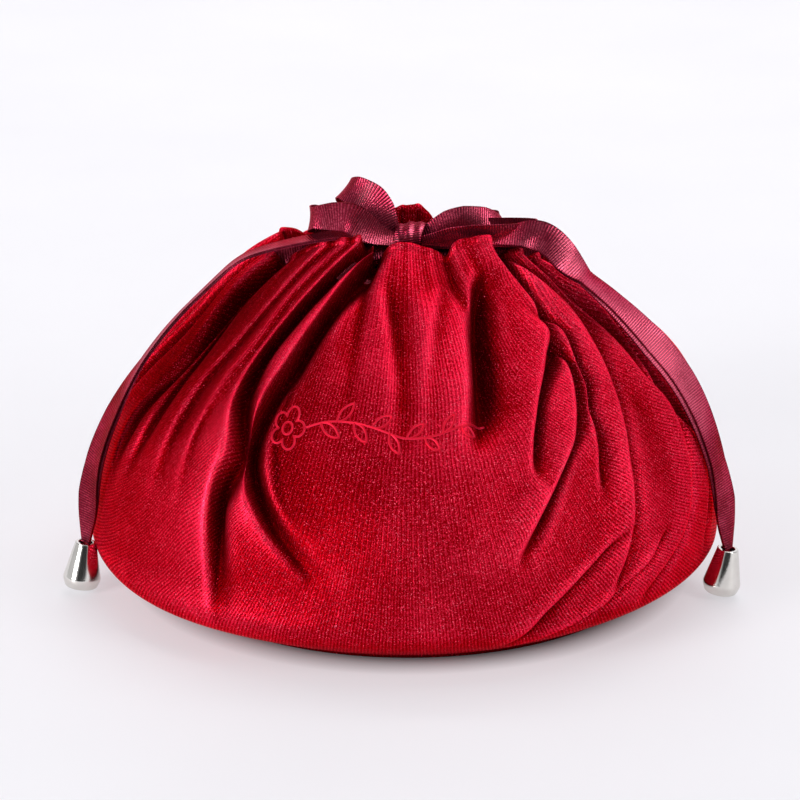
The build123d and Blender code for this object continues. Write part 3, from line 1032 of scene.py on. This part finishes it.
def rounded(outline, reaches, steps=6):
    """A closed outline in the (radius, height) plane with each corner rounded over its reach."""
    corners = np.array(outline, float)
    shares = np.linspace(0, 1, steps)
    result = []
    for here, before, after, reach in zip(corners, np.roll(corners, 1, 0), np.roll(corners, -1, 0), reaches):
        start = here + unit(before - here) * reach
        end = here + unit(after - here) * reach
        result += [(1 - t) ** 2 * start + 2 * t * (1 - t) * here + t * t * end for t in shares]
    return np.array(result)


def bell(name, side):
    """The nickel bell, its plug and the stopper knot inside it, about the throat."""
    throat = on_tail_plane(side, *side["throat"])
    across = outward_of(side).cross(Vector((0, 0, 1)))
    place = Matrix.Translation(throat) @ Matrix.Rotation(math.radians(side["lean"]), 4, across)
    shell = lathe(f"{name}_bell", rounded(BELL_SECTION, BELL_ROUNDING) * MM, place, NICKEL)
    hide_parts(f"{name}_bell_shell")
    plug = lathe(f"{name}_bell_foot", np.array(PLUG_SECTION) * MM, place, NICKEL, spokes=48)
    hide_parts(f"{name}_bell_plug")
    for piece in (shell, plug):
        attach(piece, f"{name}_bell")
    finish_node(f"{name}_stopper_knot", RIBBON)


for side_name, side_facts in SIDES.items():
    bell(side_name, side_facts)
    tail(side_name, side_facts)


# ---------------------------------------------------------------- bow
# Each loop: control points in mm from the knot and back, the ribbon's width direction along the way as
# (share of its length, direction), and the share of its width that is left at its nose
LOOPS = {
    "left_rear_loop": {
        "points": (
            (-3, 0.5, 112.4), (-5, 0.3, 114.6), (-6.6, 0.6, 118), (-8.8, 1.2, 121.6), (-11.6, 2, 124.4),
            (-15.2, 3.8, 125.8), (-19.2, 7, 126.2), (-21.2, 12.5, 125.2), (-19.8, 19.2, 121.4),
            (-13.5, 18.4, 116.6), (-4, 7, 112),
        ),
        "ways": (
            (0, (0.6, 0.3, 0.7)), (0.15, (0.85, 0, 0.5)), (0.3, (0.66, 0, 0.75)), (0.6, (0.6, 0, 0.8)),
            (1, (0.4, 0.3, 0.85)),
        ),
        "nose": 0.78,
    },
    "left_front_loop": {
        "points": (
            (-3, -3, 111.8), (-9, -6, 114), (-13.8, -8.6, 118), (-18.5, -10.3, 121.6),
            (-23.5, -10.3, 121.8), (-28.4, -8.8, 121), (-32.0, -3.6, 119.4), (-31, 3, 117.4),
            (-24, 4.6, 116), (-14, 4.8, 114.6), (-5, 3.6, 112.8),
        ),
        "ways": (
            (0, (0.3, 0.6, 0.75)), (0.14, (0.25, 0.4, 0.88)), (0.28, (0, 0, 1)),
            (0.36, (0.05, -0.1, 0.98)), (0.46, (0.05, -0.1, 1)), (0.6, (0.1, -0.1, 0.95)),
            (1, (0, 0.3, 0.95)),
        ),
        "nose": 0.68,
    },
    "right_rear_loop": {
        "points": (
            (3, 0.5, 112.4), (5.8, 0, 113.4), (10.3, 0, 115.8), (15.1, 0.4, 117.2), (20, 1.8, 116.9),
            (25.4, 4.4, 115.9), (31.2, 9.5, 113.2), (31.8, 16.4, 111.8), (22, 15.5, 112.4),
            (13, 11.5, 112), (5, 6, 111.8),
        ),
        "ways": (
            (0, (-0.2, 0.3, 0.9)), (0.2, (-0.4, 0, 0.9)), (0.45, (-0.53, 0, 0.85)), (0.7, (-0.4, 0, 0.9)),
            (1, (0, 0.3, 0.9)),
        ),
        "nose": 0.8,
    },
    "right_front_loop": {
        "points": (
            (3, -2.6, 110.8), (6, -3.6, 111.6), (12, -5, 113.2), (20, -6.5, 114), (28, -7.4, 114.1),
            (35, -7.2, 114.2), (41, -4.6, 114.4), (42, 1.2, 113.4), (34, 4.2, 112.6), (22, 4.6, 112),
            (8, 3.6, 112),
        ),
        "ways": (
            (0, (0, -0.3, 0.9)), (0.2, (0, -0.45, 0.88)), (0.34, (0, -0.35, 0.93)), (0.47, (-0.1, 0, 1)),
            (0.6, (0, 0, 1)), (1, (0, 0.3, 0.9)),
        ),
        "nose": 0.85,
    },
}


# How far a loop is drawn in on its way to its nose and back: (share of its length, share of its width)
LOOP_TO_NOSE = ((0, 0.4), (0.08, 0.55), (0.16, 0.85), (0.24, 1), (0.36, 0.98))
LOOP_NOSE_AT = 0.48
LOOP_FROM_NOSE = ((0.6, 0.94), (0.8, 1), (0.92, 0.75), (1, 0.5))


def bow_loop(name, facts):
    """A loop of ribbon, pinched at the knot and drawn in a little at its nose."""
    line = smooth_route([tuple(c * MM for c in point) for point in facts["points"]])
    widths = (*LOOP_TO_NOSE, (LOOP_NOSE_AT, facts["nose"]), *LOOP_FROM_NOSE)
    obj, line = ribbon_strip(f"{name}_ribbon", line, facts["ways"], cup=0.3 * MM, widths=widths)
    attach(obj, "root")
    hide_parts(name)
    declare_cord(line)


for loop_name, loop_facts in LOOPS.items():
    bow_loop(loop_name, loop_facts)


# The knot's wrap, in mm
KNOT_HALF_WIDTH = 4.9
KNOT_FRONT, KNOT_TOP = 4.3, 4.7  # how far it stands out before its creases
KNOT_RADIUS = 4.6  # on average
KNOT_INSIDE = 0.86  # its inner face's size, as a share of its outer face's


def bow_knot():
    """The wrap of ribbon round the middle of the bow, pinched and a little askew."""
    low, high = box_of("bow_knot")
    spin = np.linspace(0, 2 * math.pi, 96, endpoint=False)
    T, S = np.meshgrid(spin, np.linspace(-1, 1, 23), indexing="ij")
    crease = 0.35 * np.sin(3 * math.pi * S + 2.0 * np.sin(T)) + 0.2 * np.sin(7 * S + T)
    pinch = 1 - 0.16 * S**2
    depth = (KNOT_FRONT + 0.5 * np.abs(np.cos(T))) * pinch + 0.5 * crease
    height = (KNOT_TOP + 0.3 * np.sin(2 * T)) * pinch + 0.5 * crease
    x = KNOT_HALF_WIDTH * S + 0.9 * np.sin(T + 0.6)
    y = depth * np.cos(T)
    z = height * np.sin(T) + 0.12 * x
    outer_points = np.stack([x, y, z], -1)
    inner_points = np.stack([x, y * KNOT_INSIDE, z * KNOT_INSIDE], -1)[:, ::-1]
    loop = np.concatenate([outer_points, inner_points], 1) * MM + np.array((low + high) / 2)
    faces = grid_faces(*loop.shape[:2], closed=True, ring=True)
    across = np.concatenate([S, S[:, ::-1]], 1) * KNOT_HALF_WIDTH * MM
    round_it = np.concatenate([T, T], 1) * KNOT_RADIUS * MM
    uv = np.stack([across, round_it], -1)
    obj = mesh_object("bow_knot_wrap", loop.reshape(-1, 3), faces, RIBBON, uv.reshape(-1, 2))
    settle(obj, "ribbon", "bow_knot")


bow_knot()


# ---------------------------------------------------------------- drawstrings and leads
LEAD_ROUTE = ((44, 0, 105), (36, 0.5, 106), (24, -0.5, 107.5), (12, 0.4, 109), (3, 0, 110.5))
LEAD_WAYS = ((0, (0, 0.2, 1)), (1, (0, 0.5, 0.8)))
DRAWSTRING_DEPTHS = {"left": 2.6 * MM, "right": 3.0 * MM}  # inside the channel's outside face


def drawstring(name, inward):
    """One drawstring inside the channel, gathered with it, open where it leaves at its own side."""
    start = math.radians(90 * SIDES[name]["sign"])
    alpha = start + np.linspace(math.radians(4), math.radians(356), 420)
    points, uv, _ = wall_grid(alpha, WALL_ROWS, 0, inset=inward)
    points = blurred(points, 3)[DRAWSTRING_ROWS]
    turned = uv[DRAWSTRING_ROWS][..., ::-1].reshape(-1, 2)
    faces = grid_faces(len(points), len(alpha))
    obj = mesh_object(f"{name}_drawstring_ribbon", points.reshape(-1, 3), faces, RIBBON, turned)
    settle(obj, "ribbon", f"{name}_drawstring")


def lead(name):
    """A pair of plies from the exit at the side to the knot, lying in the mouth."""
    sign = SIDES[name]["sign"]
    route = smooth_route([(sign * x * MM, y * MM, z * MM) for x, y, z in LEAD_ROUTE])
    for ply, shift in (("front", -0.35), ("rear", 0.35)):
        obj = ribbon_strip(f"{name}_lead_{ply}_ribbon", route, LEAD_WAYS, shift=shift * MM)[0]
        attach(obj, "root")
        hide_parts(f"{name}_lead")


for side_name, depth_inside in DRAWSTRING_DEPTHS.items():
    drawstring(side_name, depth_inside)
    lead(side_name)


# ---------------------------------------------------------------- camera, light and floor
CAMERA_ELEVATION = math.radians(19)
CAMERA_DISTANCE = 1.0
VIEW_WIDTH = 262.4 * MM  # at the pouch
TARGET = Vector((-2.6 * MM, 0, 56.5 * MM))

# Lights as (name, place, what it shines at, size in metres, power in watts)
LIGHTS = (
    ("left_box", (-1.05, -0.9, 0.45), (0, 0, 0.05), (0.5, 0.6), 15),
    ("right_box", (1.05, -0.75, 0.8), (0, 0, 0.05), (0.5, 0.6), 6),
    ("top_box", (0.3, 0.3, 1.3), (0, 0, 0.0), (1.2, 0.8), 5),
    ("backdrop", (0, 0.7, 1.3), (0, 1.5, 0.5), (1.6, 0.4), 10),
)


def make_camera():
    data = bpy.data.cameras.new("camera")
    data.sensor_width = 36
    data.lens = data.sensor_width * CAMERA_DISTANCE / VIEW_WIDTH
    camera = link(bpy.data.objects.new("camera", data))
    direction = Vector((0, -math.cos(CAMERA_ELEVATION), math.sin(CAMERA_ELEVATION)))
    camera.location = TARGET + direction * CAMERA_DISTANCE
    camera.rotation_euler = (-direction).to_track_quat("-Z", "Y").to_euler()
    bpy.context.scene.camera = camera


def floor_material():
    """Pale paper with a painted glow that lightens its shadows, left off close round the pouch so that its
    shade stays dark there.
    """
    n = Nodes("pale_sweep")
    grain = n.noise(n.position(), 8, 2)
    away = n.add("ShaderNodeVectorMath", operation="LENGTH")
    n.wire(n.position(), away.inputs[0])
    # painted glow: emission that lifts the floor's shadows, off within 81 mm of the pouch's axis and full
    # from 94 mm
    n.feed(
        Base_Color=n.ramp(grain, (0.3, (0.37, 0.365, 0.38)), (0.7, (0.39, 0.385, 0.4))),
        Emission_Color=n.ramp(away.outputs["Value"], (0.081, (0, 0, 0)), (0.094, (0.47, 0.465, 0.485))),
    )
    n.set(Roughness=0.6, Emission_Strength=1.0)
    return n.material


def make_floor():
    """A floor that sweeps up into a wall behind the pouch."""
    front_y, wall_y, wall_top, radius, width = -2.5, 1.5, 3.5, 0.6, 6.0
    profile = [(front_y, 0.0), (wall_y - radius, 0.0)]
    for angle in np.linspace(0, math.pi / 2, 17)[1:]:
        profile.append((wall_y - radius + radius * math.sin(angle), radius - radius * math.cos(angle)))
    profile.append((wall_y, wall_top))
    points = [(x, y, z) for y, z in profile for x in (-width / 2, width / 2)]
    faces = [[2 * i, 2 * i + 1, 2 * i + 3, 2 * i + 2] for i in range(len(profile) - 1)]
    floor = mesh_object("floor", points, faces, floor_material())


def area_light(name, location, target, size, power):
    data = bpy.data.lights.new(name, "AREA")
    data.shape = "RECTANGLE"
    data.size, data.size_y = size
    data.energy = power
    light = link(bpy.data.objects.new(name, data))
    light.location = location
    light.rotation_euler = (Vector(target) - Vector(location)).to_track_quat("-Z", "Y").to_euler()


def studio_world():
    """A studio that is bright round the sides, dim overhead and dark straight in front."""
    world = bpy.data.worlds.new("studio")
    world.use_nodes = True
    tree = world.node_tree
    split = tree.nodes.new("ShaderNodeSeparateXYZ")
    tree.links.new(tree.nodes.new("ShaderNodeTexCoord").outputs["Generated"], split.inputs[0])
    front = tree.nodes.new("ShaderNodeMath")
    front.operation = "MULTIPLY"
    front.inputs[1].default_value = -1
    tree.links.new(split.outputs["Y"], front.inputs[0])
    shades = []
    for source, stops in (
        (split.outputs["Z"], ((0.25, (0.66, 0.66, 0.68)), (0.75, (0.25, 0.25, 0.26)))),
        (front.outputs[0], ((0.8, (1, 1, 1)), (0.93, (0.06, 0.06, 0.06)))),
    ):
        ramp = tree.nodes.new("ShaderNodeValToRGB")
        tree.links.new(source, ramp.inputs["Fac"])
        for element, (position, color) in zip(ramp.color_ramp.elements, stops):
            element.position = position
            element.color = (*color, 1)
        shades.append(ramp.outputs["Color"])
    product = tree.nodes.new("ShaderNodeVectorMath")
    product.operation = "MULTIPLY"
    for shade, socket in zip(shades, product.inputs):
        tree.links.new(shade, socket)
    tree.links.new(product.outputs["Vector"], tree.nodes["Background"].inputs["Color"])
    bpy.context.scene.world = world


def make_light():
    studio_world()
    for light in LIGHTS:
        area_light(*light)
    bpy.context.scene.view_settings.view_transform = "Standard"


make_camera()
make_floor()
make_light()
